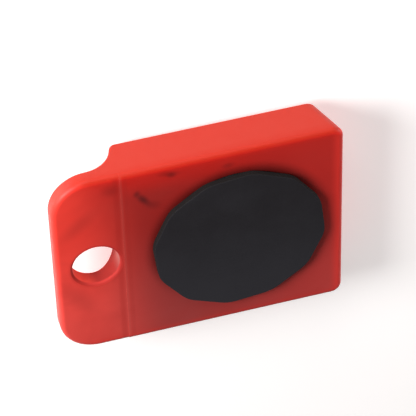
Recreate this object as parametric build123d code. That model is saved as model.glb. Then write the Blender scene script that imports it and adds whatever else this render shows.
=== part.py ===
from build123d import *
import os
from math import cos, radians, sin, tan

# Furniture roller: a moulded block on four small wheels, with a hanging tab at one end and a
# round grip pad that turns on top. One roller goes under each corner of a heavy piece.
#
# Frame, in millimetres: +Z is up with the wheels on the floor, X runs along the roller with the
# tab at the -X end, and the origin is on the floor under the middle of the whole roller.

# ---------------------------------------------------------------- driving dimensions

# outside of the block
length = 105.5              # tab end to block end
width = 80.0
tab_length = 24.7           # from the tab end to the line where the block begins
wheel_drop = 3.5            # how far the wheels stand out below the rim
block_height = 17.0         # rim to top face
tab_thickness = 6.3
tab_step = 0.2              # the tab's face lies this much below the block's
tab_corner_radius = 14.0
block_corner_radius = 4.0
top_edge_radius = 2.0
rim_edge_radius = 0.8

# the two end walls of the block, both leaning in towards the rim
end_slope = 70.5            # degrees from the top face
step_concave_radius = 11.0  # under the tab
step_convex_radius = 2.6
step_rim_start = 27.4       # where the rim begins under the tab, from the tab end

# hanging hole
hole_radius = 8.6
hole_from_end = 14.6
hole_edge_radius = 1.2
hole_foot_radius = 9.2      # where the widening foot of the hole leaves the curve under the tab
hole_foot_z = 8.0

# turntable and pad
pivot_from_end = 39.1       # pivot axis to the block end
well_radius = 29.9
well_depth = 2.4
well_floor = 2.4
disc_radius = 29.3
disc_rise = 0.4             # top of the disc above the top face
disc_to_ring = 0.15         # running clearance over the glide ring
pad_thickness = 2.1
pad_sides = 12
pad_reach_x = 32.1          # pivot axis to the pad's corners, a little further along the roller
pad_reach_y = 30.8          # than across it
pad_corner_rounding = 12.0
pad_turn = 21.0             # degrees from +X to the first corner
pad_edge_radius = 0.35
ring_inner_radius = 20.0
ring_outer_radius = 26.5
ring_groove_depth = 0.5
ring_thickness = 0.95
disc_edge_chamfer = 0.3

# pivot
hub_radius = 5.0
hub_pilot_radius = 1.5
bush_wall = 1.4
hub_clearance = 0.06        # radial, hub in bush
boss_wall = 2.6
boss_bottom = 9.0
pivot_end_play = 0.2        # between the boss and the washer
washer_radius = 7.8
washer_thickness = 1.0
pivot_head_radius = 3.6
pivot_head_height = 1.8
pivot_screw_length = 9.0    # below the head

# underside
wall = 3.0
rib = 2.0
plate_inset = 0.2           # bottom of the plate above the rim
plate_gap = 0.25            # round the plate's edge
hollow_corner_radius = 2.0
cross_rib_offset = 11.4     # from the pivot axis
cross_rib_lift = 1.6        # the cross ribs stop this far above the plate
plate_screw_reach_x = 25.0
plate_screw_reach_y = 26.0
screw_boss_radius = 3.5
screw_shank_radius = 1.25
screw_head_radius = 2.6
screw_head_height = 1.3
screw_length = 8.0
screw_depth = 6.8           # pilot depth above the plate
access_hole_radius = 6.5

# wheels and axles
wheel_radius = 7.3
wheel_width = 16.0
wheel_offset_x = 20.5       # from the pivot axis
wheel_offset_y = 23.5
wheel_edge_radius = 0.9
wheel_dish_depth = 0.9
wheel_hub_radius = 3.6
wheel_rim_inner_radius = 6.1
wheel_clearance = 0.05      # radial, wheel on axle
bay_clearance = 0.5         # beside the wheel
axle_radius = 2.0
axle_chamfer = 0.4
axle_bearing = 2.7          # length of axle held in each cheek
cheek_thickness = 3.5
axle_block_half_length = 6.0
window_half_length = 8.0

# ---------------------------------------------------------------- places worked out from them

tab_end_x = -length / 2
block_end_x = length / 2
block_corner_x = block_end_x + top_edge_radius / tan(radians(end_slope / 2)) - top_edge_radius
rim_end_x = block_corner_x - block_height / tan(radians(end_slope))
tab_line_x = tab_end_x + tab_length
hole_x = tab_end_x + hole_from_end
pivot_x = block_end_x - pivot_from_end
half_width = width / 2

rim_z = wheel_drop
face_z = rim_z + block_height
tab_face_z = face_z - tab_step
tab_under_z = face_z - tab_thickness
well_floor_z = face_z - well_depth
ceiling_z = well_floor_z - well_floor
disc_top_z = face_z + disc_rise
ring_bottom_z = well_floor_z - ring_groove_depth
ring_top_z = ring_bottom_z + ring_thickness
disc_bottom_z = ring_top_z + disc_to_ring
axle_z = wheel_radius
plate_bottom_z = rim_z + plate_inset
plate_top_z = axle_z - axle_radius      # the plate holds the axles up in their seats

hollow_x0 = tab_end_x + step_rim_start + wall
hollow_x1 = rim_end_x - wall
hollow_half_width = half_width - wall

bush_bore_radius = hub_radius + hub_clearance
bush_outer_radius = bush_bore_radius + bush_wall
boss_radius = bush_outer_radius + boss_wall
hub_end_z = boss_bottom - pivot_end_play
washer_bottom_z = hub_end_z - washer_thickness

bay_inner_y = wheel_offset_y - wheel_width / 2 - bay_clearance
bay_outer_y = wheel_offset_y + wheel_width / 2 + bay_clearance
axle_length = bay_outer_y - bay_inner_y + 2 * axle_bearing

wheel_places = {
    "front_left": (pivot_x + wheel_offset_x, wheel_offset_y),
    "front_right": (pivot_x + wheel_offset_x, -wheel_offset_y),
    "rear_left": (pivot_x - wheel_offset_x, wheel_offset_y),
    "rear_right": (pivot_x - wheel_offset_x, -wheel_offset_y),
}
plate_screw_places = [
    (pivot_x + plate_screw_reach_x, 0.0),
    (pivot_x - plate_screw_reach_x, 0.0),
    (pivot_x, plate_screw_reach_y),
    (pivot_x, -plate_screw_reach_y),
]


# ---------------------------------------------------------------- small helpers

def block_between(x0, x1, y0, y1, z0, z1):
    """A box between two corners."""
    box = Box(x1 - x0, y1 - y0, z1 - z0)
    return Pos((x0 + x1) / 2, (y0 + y1) / 2, (z0 + z1) / 2) * box


def post(x, y, radius, z0, z1):
    """An upright cylinder from z0 to z1."""
    return Pos(x, y, (z0 + z1) / 2) * Cylinder(radius, z1 - z0)


def lying_rod(x, y, z, radius, rod_length):
    """A cylinder along Y, centred on a point."""
    return Pos(x, y, z) * Rot(90, 0, 0) * Cylinder(radius, rod_length)


def cross_recess(x, y, z, reach, depth):
    """The tool that cuts a cross recess into a screw head that faces down."""
    arm = reach / 2.6
    bar = block_between(x - reach, x + reach, y - arm / 2, y + arm / 2, z, z + depth)
    other = block_between(x - arm / 2, x + arm / 2, y - reach, y + reach, z, z + depth)
    return bar + other


# ---------------------------------------------------------------- the moulded block

def upper_slab(corner_x, rim_x, top_z, corner_radius):
    """Half of the outside, from the tab line to one end, with rounded corners and top edges."""
    outline = [(tab_line_x, rim_z), (rim_x, rim_z), (corner_x, top_z), (tab_line_x, top_z)]
    side_view = make_face(Polyline(*outline, close=True))
    slab = extrude(Plane.XZ * side_view, half_width, both=True)
    corners = [
        e for e in slab.edges()
        if abs(e.tangent_at(0.5).Z) > 0.9 and abs(e.center().X - tab_line_x) > 1
    ]
    slab = fillet(corners, corner_radius)
    top = slab.faces().sort_by(Axis.Z)[-1]
    rounded = [e for e in top.edges() if abs(e.center().X - tab_line_x) > 0.01]
    return fillet(rounded, top_edge_radius)


def under_tab_cutter():
    """What is taken away below the tab: a flat underside that curves down into the rim."""
    slope = radians(end_slope)
    rim_corner_x = tab_end_x + step_rim_start - step_convex_radius * tan(slope / 2)
    drop = tab_under_z - rim_z
    tab_corner_x = rim_corner_x - drop / tan(slope)
    beyond_x = tab_end_x - 5
    below_z = rim_z - 5
    path = [
        (beyond_x, tab_under_z),
        (tab_corner_x, tab_under_z),
        (rim_corner_x, rim_z),
        (half_width, rim_z),
        (half_width, below_z),
        (beyond_x, below_z),
    ]
    profile = make_face(Polyline(*path, close=True))
    concave = profile.vertices().sort_by_distance((tab_corner_x, tab_under_z, 0))[0]
    profile = fillet(concave, step_concave_radius)
    convex = profile.vertices().sort_by_distance((rim_corner_x, rim_z, 0))[0]
    profile = fillet(convex, step_convex_radius)
    upright = Plane.XZ * profile
    return extrude(upright, half_width + 5, both=True)


def outer_shell():
    tab = upper_slab(tab_end_x, tab_end_x, tab_face_z, tab_corner_radius)
    block = upper_slab(block_corner_x, rim_end_x, face_z, block_corner_radius)
    return tab + block - under_tab_cutter()


def lower_edges(shell):
    """The outline of the underside: every edge between a side wall and what faces down."""
    chosen = []
    for edge in shell.edges():
        at = edge.center()
        upright = edge.length > 1 and abs(edge.tangent_at(0.5).Z) > 0.99
        on_side = abs(abs(at.Y) - half_width) < 0.01
        on_rim = abs(at.Z - rim_z) < 0.01
        under_tab = abs(at.Z - tab_under_z) < 0.01
        on_step = on_side and at.Z < tab_under_z and at.X < pivot_x
        if not upright and (on_rim or under_tab or on_step):
            across = abs(edge.tangent_at(0.5).Y) > 0.99 and at.X > tab_end_x + 1
            if not across or at.X > rim_end_x - 1:
                chosen.append(edge)
    return chosen


def body_block():
    shell = outer_shell()
    shell = fillet(lower_edges(shell), rim_edge_radius)

    # hanging hole: straight through the tab, then widening through the curve under it
    foot_height = tab_under_z - hole_foot_z
    foot_middle = Pos(hole_x, 0, tab_under_z - foot_height / 2)
    shell -= post(hole_x, 0, hole_radius, tab_under_z, face_z + 1)
    shell -= foot_middle * Cone(hole_foot_radius, hole_radius, foot_height)
    mouth = [
        e for e in shell.edges().filter_by(GeomType.CIRCLE)
        if abs(e.radius - hole_radius) < 0.01 and abs(e.center().Z - tab_face_z) < 0.01
    ]
    shell = fillet(mouth, hole_edge_radius)

    # well for the turntable, with the groove for the glide ring
    shell -= post(pivot_x, 0, well_radius, well_floor_z, face_z + 1)
    groove = post(pivot_x, 0, ring_outer_radius, ring_bottom_z, well_floor_z)
    groove -= post(pivot_x, 0, ring_inner_radius, ring_bottom_z, well_floor_z)
    shell -= groove

    # hollow underside
    hollow = block_between(hollow_x0, hollow_x1, -hollow_half_width, hollow_half_width,
                           rim_z - 1, ceiling_z)
    shell -= fillet(hollow.edges().filter_by(Axis.Z), hollow_corner_radius)

    # ribs: a pair of long cheeks, a pair of cross ribs, the outer axle blocks and the bosses
    added = []
    for side in (1, -1):
        y0, y1 = sorted((side * bay_inner_y, side * (bay_inner_y - cheek_thickness)))
        added.append(block_between(hollow_x0, hollow_x1, y0, y1, plate_top_z, ceiling_z))
        rib_x = pivot_x + side * cross_rib_offset
        added.append(block_between(rib_x - rib / 2, rib_x + rib / 2, -hollow_half_width,
                                   hollow_half_width, plate_top_z + cross_rib_lift, ceiling_z))
    for x, y in wheel_places.values():
        side = 1 if y > 0 else -1
        y0, y1 = sorted((side * bay_outer_y, side * hollow_half_width))
        added.append(block_between(x - axle_block_half_length, x + axle_block_half_length,
                                   y0, y1, plate_top_z, ceiling_z))
    for x, y in plate_screw_places:
        added.append(post(x, y, screw_boss_radius, plate_top_z, ceiling_z))
    added.append(post(pivot_x, 0, boss_radius, boss_bottom, ceiling_z))
    for piece in added:
        shell += piece

    # bore for the bush, pilots for the plate screws, seats for the axles
    shell -= post(pivot_x, 0, bush_outer_radius, boss_bottom - 1, face_z)
    for x, y in plate_screw_places:
        shell -= post(x, y, screw_shank_radius, plate_top_z, plate_top_z + screw_depth)
    for x, y in wheel_places.values():
        seat = lying_rod(x, y, axle_z, axle_radius, axle_length)
        mouth = block_between(x - axle_radius, x + axle_radius, y - axle_length / 2,
                              y + axle_length / 2, rim_z, axle_z)
        shell -= seat + mouth
    return shell


# ---------------------------------------------------------------- the turning top

def turntable_disc():
    disc = post(pivot_x, 0, disc_radius, disc_bottom_z, disc_top_z)
    disc = chamfer(disc.edges(), disc_edge_chamfer)
    disc += post(pivot_x, 0, hub_radius, hub_end_z, disc_top_z)
    pilot_top = hub_end_z + pivot_screw_length
    return disc - post(pivot_x, 0, hub_pilot_radius, hub_end_z, pilot_top)


def grip_pad():
    corners = []
    for number in range(pad_sides):
        angle = radians(pad_turn + 360 * number / pad_sides)
        corners.append((pad_reach_x * cos(angle), pad_reach_y * sin(angle)))
    outline = make_face(Polyline(*corners, close=True))
    outline = fillet(outline.vertices(), pad_corner_rounding)
    pad = Pos(pivot_x, 0, disc_top_z) * extrude(outline, pad_thickness)
    return fillet(pad.faces().sort_by(Axis.Z)[-1].edges(), pad_edge_radius)


def glide_ring():
    ring = post(pivot_x, 0, ring_outer_radius, ring_bottom_z, ring_top_z)
    ring -= post(pivot_x, 0, ring_inner_radius, ring_bottom_z, ring_top_z)
    return ring


def pivot_bush():
    bush = post(pivot_x, 0, bush_outer_radius, boss_bottom, well_floor_z)
    return bush - post(pivot_x, 0, bush_bore_radius, boss_bottom, well_floor_z)


def pivot_washer():
    washer = post(pivot_x, 0, washer_radius, washer_bottom_z, hub_end_z)
    return washer - post(pivot_x, 0, hub_pilot_radius, washer_bottom_z, hub_end_z)


def pivot_screw():
    head_z = washer_bottom_z - pivot_head_height
    head = post(pivot_x, 0, pivot_head_radius, head_z, washer_bottom_z)
    head = fillet(head.edges().sort_by(Axis.Z)[0], 1.0)
    head -= cross_recess(pivot_x, 0, head_z, pivot_head_radius * 0.6, 1.1)
    shank_top = washer_bottom_z + pivot_screw_length
    return head + post(pivot_x, 0, hub_pilot_radius, washer_bottom_z, shank_top)


# ---------------------------------------------------------------- the underside

def base_plate():
    plate = block_between(hollow_x0 + plate_gap, hollow_x1 - plate_gap,
                          -hollow_half_width + plate_gap, hollow_half_width - plate_gap,
                          plate_bottom_z, plate_top_z)
    plate = fillet(plate.edges().filter_by(Axis.Z), hollow_corner_radius)
    for x, y in wheel_places.values():
        window = block_between(x - window_half_length, x + window_half_length,
                               y - wheel_width / 2 - bay_clearance,
                               y + wheel_width / 2 + bay_clearance, rim_z, plate_top_z)
        plate -= fillet(window.edges().filter_by(Axis.Z), 1.0)
    for x, y in plate_screw_places:
        sink = Pos(x, y, plate_bottom_z + screw_head_height / 2) * Cone(
            screw_head_radius, screw_shank_radius, screw_head_height)
        plate -= sink + post(x, y, screw_shank_radius, plate_bottom_z, plate_top_z)
    return plate - post(pivot_x, 0, access_hole_radius, plate_bottom_z, plate_top_z)


def plate_screw(x, y):
    """A countersunk screw, its head flush with the bottom of the plate."""
    head = Pos(x, y, plate_bottom_z + screw_head_height / 2) * Cone(
        screw_head_radius, screw_shank_radius, screw_head_height)
    shank = post(x, y, screw_shank_radius, plate_bottom_z, plate_bottom_z + screw_length)
    return head + shank - cross_recess(x, y, plate_bottom_z, screw_head_radius * 0.6, 0.8)


def axle(x, y):
    return chamfer(lying_rod(x, y, axle_z, axle_radius, axle_length).edges(), axle_chamfer)


def wheel(x, y):
    """A moulded nylon roller, dished on both faces round its hub."""
    tread = fillet(Cylinder(wheel_radius, wheel_width).edges(), wheel_edge_radius)
    for face in (1, -1):
        dish_z = face * (wheel_width - wheel_dish_depth) / 2
        dish = Cylinder(wheel_rim_inner_radius, wheel_dish_depth)
        dish -= Cylinder(wheel_hub_radius, wheel_dish_depth)
        tread -= Pos(0, 0, dish_z) * dish
    tread -= Cylinder(axle_radius + wheel_clearance, wheel_width)
    return Pos(x, y, axle_z) * Rot(90, 0, 0) * tread


# ---------------------------------------------------------------- write every piece

pieces = {
    "body_block": body_block(),
    "base_plate": base_plate(),
    "plate_screws": Compound(children=[plate_screw(x, y) for x, y in plate_screw_places]),
    "glide_ring": glide_ring(),
    "pivot_bush": pivot_bush(),
    "turntable_disc": turntable_disc(),
    "grip_pad": grip_pad(),
    "pivot_washer": pivot_washer(),
    "pivot_screw": pivot_screw(),
}
for place, (wheel_x, wheel_y) in wheel_places.items():
    pieces["axle_" + place] = axle(wheel_x, wheel_y)
    pieces["wheel_" + place] = wheel(wheel_x, wheel_y)

os.makedirs("parts", exist_ok=True)
for name, shape in pieces.items():
    export_step(shape, f"parts/{name}.step")
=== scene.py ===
"""Furniture roller: materials, small surface detail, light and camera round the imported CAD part."""
from math import cos, radians, sin

import bpy
from mathutils import Matrix, Vector


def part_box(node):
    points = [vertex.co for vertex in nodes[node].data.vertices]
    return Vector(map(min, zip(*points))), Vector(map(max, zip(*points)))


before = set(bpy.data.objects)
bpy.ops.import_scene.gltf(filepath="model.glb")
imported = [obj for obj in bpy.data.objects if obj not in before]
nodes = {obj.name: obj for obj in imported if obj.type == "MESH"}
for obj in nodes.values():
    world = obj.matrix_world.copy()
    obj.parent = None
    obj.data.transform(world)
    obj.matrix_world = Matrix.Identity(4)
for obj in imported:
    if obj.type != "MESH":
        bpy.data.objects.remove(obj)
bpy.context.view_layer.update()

# ---------------------------------------------------------------- sizes, in metres

MM = 0.001
FACE_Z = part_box("body_block")[1].z
PAD_LOW, PAD_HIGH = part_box("grip_pad")
PIVOT_X = (PAD_LOW.x + PAD_HIGH.x) / 2
PAD_RADIUS = (PAD_HIGH.x - PAD_LOW.x) / 2
PAD_OVAL = (PAD_HIGH.x - PAD_LOW.x) / (PAD_HIGH.y - PAD_LOW.y)
TAB_END_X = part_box("body_block")[0].x
TAB_LINE_X = TAB_END_X + 24.7 * MM    # where the tab begins
FAR_END_X = TAB_END_X + 105.5 * MM
HOLE_X = TAB_END_X + 14.6 * MM
HOLE_RADIUS = 8.6 * MM

CAMERA_TARGET = Vector((TAB_END_X + 55.59 * MM, 16.48 * MM, FACE_Z))
CAMERA_DISTANCE = 0.9029
CAMERA_AZIMUTH = radians(105.36)      # from +X towards +Y, target to camera
CAMERA_ELEVATION = radians(44.68)
CAMERA_ROLL = radians(156.72)
CAMERA_SENSOR = 36                    # width, in mm
CAMERA_LENS = 223.89                  # in mm


# ---------------------------------------------------------------- node helpers

class Shader:
    """A material whose node tree is built by short calls."""

    def __init__(self, name):
        self.material = bpy.data.materials.new(name)
        self.material.use_nodes = True
        self.tree = self.material.node_tree
        self.bsdf = self.tree.nodes["Principled BSDF"]
        self.place = self.tree.nodes.new("ShaderNodeTexCoord")

    def set(self, **values):
        for name, value in values.items():
            self.bsdf.inputs[name.replace("_", " ")].default_value = value
        return self

    def plug(self, value, socket):
        """Links a socket, or writes a plain value."""
        if isinstance(value, bpy.types.NodeSocket):
            self.tree.links.new(value, socket)
        else:
            socket.default_value = value

    def math(self, operation, a, b=0.0):
        node = self.tree.nodes.new("ShaderNodeMath")
        node.operation = operation
        self.plug(a, node.inputs[0])
        self.plug(b, node.inputs[1])
        return node.outputs[0]

    def times(self, first, *others):
        """The product of all its values."""
        for other in others:
            first = self.math("MULTIPLY", first, other)
        return first

    def away(self, value, centre):
        """How far a coordinate is from a centre, either way."""
        return self.math("ABSOLUTE", self.math("SUBTRACT", value, centre))

    def reach(self, x, y):
        """The distance of (x, y) from (0, 0)."""
        return self.math("SQRT", self.math("ADD", self.math("POWER", x, 2),
                                           self.math("POWER", y, 2)))

    def scaled(self, scale, turn=(0, 0, 0), move=(0, 0, 0)):
        """Object coordinates, moved by -move, turned, then scaled."""
        node = self.tree.nodes.new("ShaderNodeMapping")
        node.vector_type = "TEXTURE"
        self.tree.links.new(self.place.outputs["Object"], node.inputs["Vector"])
        node.inputs["Location"].default_value = move
        node.inputs["Rotation"].default_value = turn
        node.inputs["Scale"].default_value = [1 / s for s in scale]
        return node.outputs["Vector"]

    def noise(self, scale, detail=3.0, roughness=0.5, distortion=0.0, vector=None):
        node = self.tree.nodes.new("ShaderNodeTexNoise")
        self.plug(vector or self.place.outputs["Object"], node.inputs["Vector"])
        node.inputs["Scale"].default_value = scale
        node.inputs["Detail"].default_value = detail
        node.inputs["Roughness"].default_value = roughness
        node.inputs["Distortion"].default_value = distortion
        return node.outputs["Fac"]

    def spread(self, value, low, high, to_low=0.0, to_high=1.0, smooth=False):
        node = self.tree.nodes.new("ShaderNodeMapRange")
        node.interpolation_type = "SMOOTHSTEP" if smooth else "LINEAR"
        self.plug(value, node.inputs["Value"])
        for name, number in (("From Min", low), ("From Max", high),
                             ("To Min", to_low), ("To Max", to_high)):
            node.inputs[name].default_value = number
        return node.outputs[0]

    def mix(self, amount, first, second, blend="MIX"):
        node = self.tree.nodes.new("ShaderNodeMix")
        node.data_type = "RGBA"
        node.blend_type = blend
        self.plug(amount, node.inputs["Factor"])
        self.plug(first, node.inputs["A"])
        self.plug(second, node.inputs["B"])
        return node.outputs["Result"]

    def axis(self, name):
        node = self.tree.nodes.new("ShaderNodeSeparateXYZ")
        self.tree.links.new(self.place.outputs["Object"], node.inputs[0])
        return node.outputs[name]

    def blob(self, centre, size, turn=0.0):
        """1 at a point of the top face, fading to 0 at an ellipse's rim."""
        flat = (1 / size[0], 1 / size[1], 1 / size[0])
        vector = self.scaled(flat, (0, 0, turn), (centre[0], centre[1], FACE_Z))
        node = self.tree.nodes.new("ShaderNodeVectorMath")
        node.operation = "LENGTH"
        self.tree.links.new(vector, node.inputs[0])
        return self.spread(node.outputs["Value"], 1.0, 0.0, smooth=True)

    def bump(self, height, distance, strength=1.0):
        node = self.tree.nodes.new("ShaderNodeBump")
        node.inputs["Strength"].default_value = strength
        node.inputs["Distance"].default_value = distance
        self.plug(height, node.inputs["Height"])
        self.tree.links.new(node.outputs[0], self.bsdf.inputs["Normal"])
        return self

    def colour(self, value):
        self.plug(value, self.bsdf.inputs["Base Color"])
        return self

    def rough(self, value):
        self.plug(value, self.bsdf.inputs["Roughness"])
        return self


# ---------------------------------------------------------------- materials

LIT_TAB_RED = (0.77, 0.042, 0.028, 1)
SHADED_RED = (0.31, 0.014, 0.011, 1)
FAR_END_LIT_RED = (0.50, 0.018, 0.013, 1)
LONG_EDGE_LIT_RED = (0.60, 0.010, 0.005, 1)
CLOUD_RED = (0.36, 0.012, 0.009, 1)
END_HIGHLIGHT_RED = (0.85, 0.035, 0.024, 1)
EDGE_HIGHLIGHT_RED = (0.66, 0.012, 0.005, 1)
SIDE_RED_LOW = (0.45, 0.023, 0.010, 1)
SIDE_RED_HIGH = (0.45, 0.017, 0.005, 1)
PAINTED_SHEEN = (0.62, 0.25, 0.24, 1)
STAIN = (0.055, 0.004, 0.005, 1)
PAD_SHADE = (0.035, 0.002, 0.002, 1)
HOLE_RING_RED = (0.42, 0.010, 0.008, 1)
HOLE_MOUTH_SHADE_RED = (0.24, 0.006, 0.005, 1)
HOLE_WALL_LIT_RED = (0.95, 0.08, 0.05, 1)
HOLE_WALL_SHADE_RED = (0.27, 0.013, 0.009, 1)
HOLE_WALL_HIGHLIGHT_PINK = (0.80, 0.45, 0.40, 1)

# stains on the top face, in mm: from the tab's end, from the middle, half length, half width,
# turn in degrees, strength
STAINS = (
    (32.6, 27.0, 5.4, 2.3, -54, 0.75),
    (36.0, 23.6, 4.6, 3.2, -20, 0.30),
    (30.4, 30.3, 2.4, 1.8, 60, 0.5),
    (42.0, 36.4, 6.0, 2.0, -10, 0.36),
    (43.0, 35.6, 2.4, 2.0, 0, 0.42),
    (63.2, 34.4, 3.6, 1.8, 5, 0.36),
    (21.6, 34.0, 5.4, 4.2, 0, 0.30),
    (9.0, 20.6, 13.0, 4.8, 40, 0.22),
    (8.0, -14.8, 14.0, 6.0, -54, 0.20),
    (20.6, -3.0, 2.0, 9.0, 0, 0.2),
)

# painted shade and a painted highlight along the line where the tab begins: mm from the line, half
# width in mm, strength, colour
TAB_LINE_SHADE_AND_HIGHLIGHT = (
    (-1.7, 1.4, 0.20, (0.28, 0.008, 0.006, 1)),
    (0.1, 0.9, 0.09, (0.40, 0.17, 0.14, 1)),
    (1.8, 1.3, 0.12, (0.20, 0.006, 0.005, 1)),
)


def block_reds(s, x, y, z):
    """Painted light and shade on the red: paler at the tab where the light falls, painted shade
    deepest beside the pad, painted light again at the far end, painted highlights at the end and the
    edges, a painted sheen towards -Y, a random cloud of tone, and a red of their own on the long
    sides.
    """
    # painted light and shade: the lit red at the tab fades along a slanted line into the shaded red
    # beside the pad
    slanted = s.math("ADD", x, s.times(y, 0.14))
    past_tab = s.spread(slanted, TAB_END_X + 6 * MM, TAB_END_X + 37 * MM, smooth=True)
    base = s.mix(past_tab, LIT_TAB_RED, SHADED_RED)
    # painted light: brighter again towards the far end
    far = s.spread(x, TAB_END_X + 42 * MM, TAB_END_X + 104 * MM, 0, 0.85, smooth=True)
    base = s.mix(far, base, FAR_END_LIT_RED)
    # painted light: brighter towards the +Y edge of the top face, past the tab, fading towards the
    # far end
    long_edge = s.spread(y, 27 * MM, 38 * MM, 0, 0.66, smooth=True)
    fading = s.spread(x, TAB_END_X + 58 * MM, TAB_END_X + 94 * MM, 1, 0.2)
    base = s.mix(s.times(long_edge, past_tab, fading), base, LONG_EDGE_LIT_RED)
    # painted reflection: a pinkish grey sheen that grows towards -Y
    sheen = s.spread(y, 22 * MM, -34 * MM, 0, 0.11, smooth=True)
    base = s.mix(sheen, base, PAINTED_SHEEN)
    cloud = s.spread(s.noise(38, 3, 0.55, 0.4), 0.42, 0.72, 0, 0.28)
    base = s.mix(cloud, base, CLOUD_RED)
    # painted highlight: brighter red on the far end's rounded edge
    end = s.spread(x, FAR_END_X - 5.5 * MM, FAR_END_X, 0, 0.7, smooth=True)
    base = s.mix(end, base, END_HIGHLIGHT_RED)
    from_middle = s.math("ABSOLUTE", y)
    # painted highlight along both long top edges
    corner = s.spread(from_middle, 36.0 * MM, 38.4 * MM, 0, 0.3, smooth=True)
    base = s.mix(corner, base, EDGE_HIGHLIGHT_RED)
    side = s.spread(from_middle, 38.1 * MM, 39.6 * MM, smooth=True)
    up = s.spread(z, FACE_Z - 5 * MM, FACE_Z - 2 * MM, smooth=True)
    return s.mix(side, base, s.mix(up, SIDE_RED_LOW, SIDE_RED_HIGH))


def stained(s, base, on_top):
    for along, across, half_length, half_width, turn, strength in STAINS:
        spot = s.blob((TAB_END_X + along * MM, across * MM),
                      (half_length * MM, half_width * MM), radians(turn))
        base = s.mix(s.times(spot, strength, on_top), base, STAIN)
    return base


def tab_line_shade_and_highlight(s, base, x, on_top):
    # painted shade on either side of the line, and a painted highlight on it
    for offset, half_width, strength, colour in TAB_LINE_SHADE_AND_HIGHLIGHT:
        off = s.away(x, TAB_LINE_X + offset * MM)
        stroke = s.spread(off, half_width * MM, 0.2 * half_width * MM, 0, strength, smooth=True)
        base = s.mix(s.times(stroke, on_top), base, colour)
    return base


def shade_round_pad(s, base, x, y, on_top):
    """Painted shade in the corner under the pad's rim, most of it towards +Y and the tab."""
    pad_x = s.math("SUBTRACT", x, PIVOT_X + 1 * MM)
    out = s.reach(pad_x, s.times(y, PAD_OVAL))
    # painted shade, darkest at the pad's rim
    near_rim = s.spread(out, PAD_RADIUS + 5.0 * MM, PAD_RADIUS - 1.2 * MM, 0, 0.85, smooth=True)
    bearing = s.math("SUBTRACT", y, s.times(pad_x, 0.55))
    where = s.spread(bearing, -18 * MM, 16 * MM, smooth=True)
    return s.mix(s.times(near_rim, where, on_top), base, PAD_SHADE)


def hanging_hole(s, base, x, y, z, on_top):
    """A darker ring round the mouth, painted shade in the mouth, and painted light and shade on the
    wall: paler towards -X, deeper towards +X, with a painted pink highlight towards +X.

    Returns the colour, and where the mouth is: 1 below its edge, 0 elsewhere.
    """
    out = s.reach(s.math("SUBTRACT", x, HOLE_X), y)
    ring = s.spread(out, HOLE_RADIUS + 2.2 * MM, HOLE_RADIUS + 0.8 * MM, 0, 0.25, smooth=True)
    base = s.mix(s.times(ring, on_top), base, HOLE_RING_RED)
    mouth = s.times(s.spread(out, HOLE_RADIUS + 1.3 * MM, HOLE_RADIUS + 0.9 * MM),
                    s.spread(z, FACE_Z - 0.21 * MM, FACE_Z - 0.3 * MM))
    # painted shade: the mouth and the wall darkened
    base = s.mix(s.times(mouth, 0.45), base, HOLE_MOUTH_SHADE_RED)
    wall = s.times(mouth, s.spread(z, FACE_Z - 0.9 * MM, FACE_Z - 1.5 * MM))
    # painted light and shade on the wall: paler towards -X, deeper towards +X
    along = s.spread(x, HOLE_X - 7 * MM, HOLE_X + 1 * MM, smooth=True)
    base = s.mix(wall, base, s.mix(along, HOLE_WALL_LIT_RED, HOLE_WALL_SHADE_RED))
    # painted highlight: a pink patch on the wall towards +X
    wall_highlight = s.times(s.spread(x, HOLE_X + 4.5 * MM, HOLE_X + 8.3 * MM, 0, 0.22, smooth=True),
                     s.spread(y, -6 * MM, 1 * MM, smooth=True),
                     s.spread(z, FACE_Z - 9 * MM, FACE_Z - 5 * MM))
    return s.mix(s.times(wall_highlight, wall), base, HOLE_WALL_HIGHLIGHT_PINK), mouth


def red_block():
    """Moulded red plastic with painted light and shade: paler at the tab, painted shade round the
    pad, painted highlights on the edges and in the hanging hole; with stains and a fine grain.
    """
    s = Shader("red_abs_block")
    x, y, z = s.axis("X"), s.axis("Y"), s.axis("Z")
    on_top = s.spread(z, FACE_Z - 1.0 * MM, FACE_Z - 0.3 * MM)
    base = stained(s, block_reds(s, x, y, z), on_top)
    base = tab_line_shade_and_highlight(s, base, x, on_top)
    base = shade_round_pad(s, base, x, y, on_top)
    base, mouth = hanging_hole(s, base, x, y, z, on_top)
    s.colour(base)
    grain = s.spread(s.noise(220, 4), 0.3, 0.7, 0.42, 0.54)
    s.rough(s.math("ADD", grain, s.times(mouth, 0.3)))
    s.set(Specular_IOR_Level=0.27)
    s.bump(s.noise(900, 2), 0.00003, 0.25)
    return s.material


def red_plate():
    """The same plastic on the underside: duller, with a coarser grain."""
    s = Shader("red_abs_plate")
    base = s.mix(s.spread(s.noise(45, 4), 0.4, 0.7), (0.6, 0.035, 0.025, 1),
                 (0.42, 0.022, 0.017, 1))
    s.colour(base)
    s.rough(s.spread(s.noise(400, 3), 0.3, 0.7, 0.42, 0.58))
    s.bump(s.noise(2500, 2), 0.00004, 0.4)
    return s.material


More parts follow.
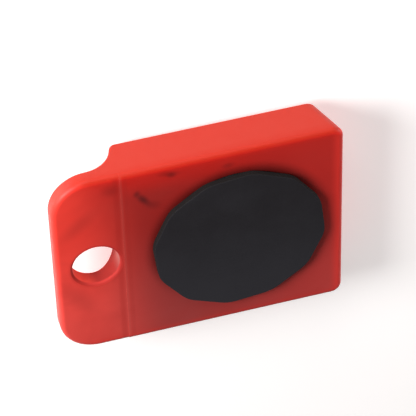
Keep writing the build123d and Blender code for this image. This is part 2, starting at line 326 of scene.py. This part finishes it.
def black_rubber():
    """Matt rubber: greyer towards -Y, and near black on its rim and side wall, painted shade."""
    s = Shader("black_rubber")
    base = s.mix(s.spread(s.noise(60, 5, 0.6), 0.35, 0.75), (0.008, 0.006, 0.008, 1),
                 (0.014, 0.012, 0.015, 1))
    greyer_towards_minus_y = s.spread(s.axis("Y"), 20 * MM, -30 * MM, 0.1, 0.8, smooth=True)
    base = s.mix(greyer_towards_minus_y, base, (0.022, 0.021, 0.026, 1))
    # painted shade: near black on the pad's rim and side wall
    rim = s.spread(s.axis("Z"), PAD_HIGH.z - 0.01 * MM, PAD_HIGH.z - 0.16 * MM)
    base = s.mix(rim, base, (0.003, 0.002, 0.002, 1))
    s.colour(base)
    grain = s.spread(s.noise(300, 4), 0.3, 0.7, 0.66, 0.76)
    s.rough(s.math("ADD", grain, s.times(rim, 0.2)))
    s.set(Specular_IOR_Level=0.3)
    s.bump(s.noise(1800, 3), 0.00006, 0.5)
    return s.material


def black_plastic():
    s = Shader("black_plastic")
    s.colour(s.mix(s.noise(120, 4), (0.012, 0.012, 0.013, 1), (0.03, 0.03, 0.032, 1)))
    s.rough(s.spread(s.noise(500, 3), 0.3, 0.7, 0.4, 0.6))
    s.bump(s.noise(1500, 2), 0.00003, 0.3)
    return s.material


def white_plastic(name, pale, shade, roughness):
    s = Shader(name)
    s.colour(s.mix(s.spread(s.noise(90, 5, 0.6), 0.4, 0.75), pale, shade))
    s.rough(s.spread(s.noise(350, 3), 0.3, 0.7, roughness, roughness + 0.14))
    s.bump(s.noise(1400, 2), 0.00003, 0.35)
    return s.material


def steel(name, pale, shade, stretch):
    """Metal with a grain whose scale is given along each axis."""
    s = Shader(name)
    grain = s.noise(1, 4, 0.6, 0, s.scaled(stretch))
    s.colour(s.mix(s.spread(grain, 0.3, 0.7), pale, shade))
    s.rough(s.spread(grain, 0.3, 0.7, 0.24, 0.42))
    s.set(Metallic=1.0)
    s.bump(grain, 0.00002, 0.4)
    return s.material


def dress(material, *names):
    for name in names:
        mesh = nodes[name].data
        mesh.materials.clear()
        mesh.materials.append(material)


wheel_places = ("front_left", "front_right", "rear_left", "rear_right")
dress(red_block(), "body_block")
dress(red_plate(), "base_plate")
dress(black_rubber(), "grip_pad")
dress(black_plastic(), "turntable_disc")
dress(white_plastic("acetal", (0.78, 0.77, 0.73, 1), (0.68, 0.67, 0.62, 1), 0.34),
      "glide_ring", "pivot_bush")
dress(white_plastic("nylon", (0.74, 0.73, 0.70, 1), (0.56, 0.55, 0.52, 1), 0.38),
      *("wheel_" + place for place in wheel_places))
dress(steel("pin_steel", (0.62, 0.61, 0.6, 1), (0.42, 0.41, 0.4, 1), (3000, 200, 3000)),
      *("axle_" + place for place in wheel_places))
dress(steel("zinc_steel", (0.66, 0.66, 0.64, 1), (0.46, 0.46, 0.44, 1), (1200, 1200, 1200)),
      "pivot_screw", "pivot_washer", "plate_screws")


# ---------------------------------------------------------------- floor, light, camera

def floor():
    """A pale floor with a little light of its own, so that it shows as white."""
    bpy.ops.mesh.primitive_plane_add(size=8)
    plane = bpy.context.object
    plane.name = "floor"
    s = Shader("floor")
    s.colour((0.85, 0.83, 0.82, 1))
    s.set(Roughness=0.9, Emission_Color=(1, 0.95, 0.94, 1), Emission_Strength=0.44)
    plane.data.materials.append(s.material)


def soft_light(name, place, aim, size, power):
    data = bpy.data.lights.new(name, "AREA")
    data.shape = "DISK"
    data.size = size
    data.energy = power
    lamp = bpy.data.objects.new(name, data)
    bpy.context.collection.objects.link(lamp)
    lamp.location = place
    lamp.rotation_euler = (Vector(aim) - Vector(place)).to_track_quat("-Z", "Y").to_euler()


def sky(low, high):
    """A white studio whose strength changes from the horizon to overhead."""
    world = bpy.data.worlds.new("studio")
    bpy.context.scene.world = world
    world.use_nodes = True
    tree = world.node_tree
    background = tree.nodes["Background"]
    place = tree.nodes.new("ShaderNodeTexCoord")
    split = tree.nodes.new("ShaderNodeSeparateXYZ")
    spread = tree.nodes.new("ShaderNodeMapRange")
    tree.links.new(place.outputs["Generated"], split.inputs[0])
    tree.links.new(split.outputs["Z"], spread.inputs["Value"])
    spread.inputs["From Min"].default_value = 0.0
    spread.inputs["From Max"].default_value = 0.6
    spread.inputs["To Min"].default_value = low
    spread.inputs["To Max"].default_value = high
    tree.links.new(spread.outputs[0], background.inputs["Strength"])
    background.inputs["Color"].default_value = (1, 1, 1, 1)


def camera():
    """The photograph's viewing angle: the camera is rolled, so +Y points up in the picture."""
    back = Vector((cos(CAMERA_ELEVATION) * cos(CAMERA_AZIMUTH),
                   cos(CAMERA_ELEVATION) * sin(CAMERA_AZIMUTH), sin(CAMERA_ELEVATION)))
    level = Vector((0, 0, 1)).cross(back).normalized()
    upright = back.cross(level)
    right = level * cos(CAMERA_ROLL) + upright * sin(CAMERA_ROLL)
    up = back.cross(right)
    data = bpy.data.cameras.new("photo_camera")
    data.lens = CAMERA_LENS
    data.sensor_width = CAMERA_SENSOR
    data.clip_start = 0.01
    view = bpy.data.objects.new("photo_camera", data)
    bpy.context.collection.objects.link(view)
    view.matrix_world = Matrix((right, up, back)).transposed().to_4x4()
    view.location = CAMERA_TARGET + back * CAMERA_DISTANCE
    bpy.context.scene.camera = view


floor()
sky(0.65, 0.1)
soft_light("key", (-0.2, 1.1, 0.3), (0, 0, 0), 0.6, 4.6)
soft_light("side", (-0.48, 0.28, 0.3), (0.01, 0, 0.02), 0.3, 5.4)
soft_light("far_end", (0.7, 0.2, 0.12), (0.05, 0, 0.02), 0.25, 2.0)
camera()
bpy.context.scene.view_settings.view_transform = "Standard"
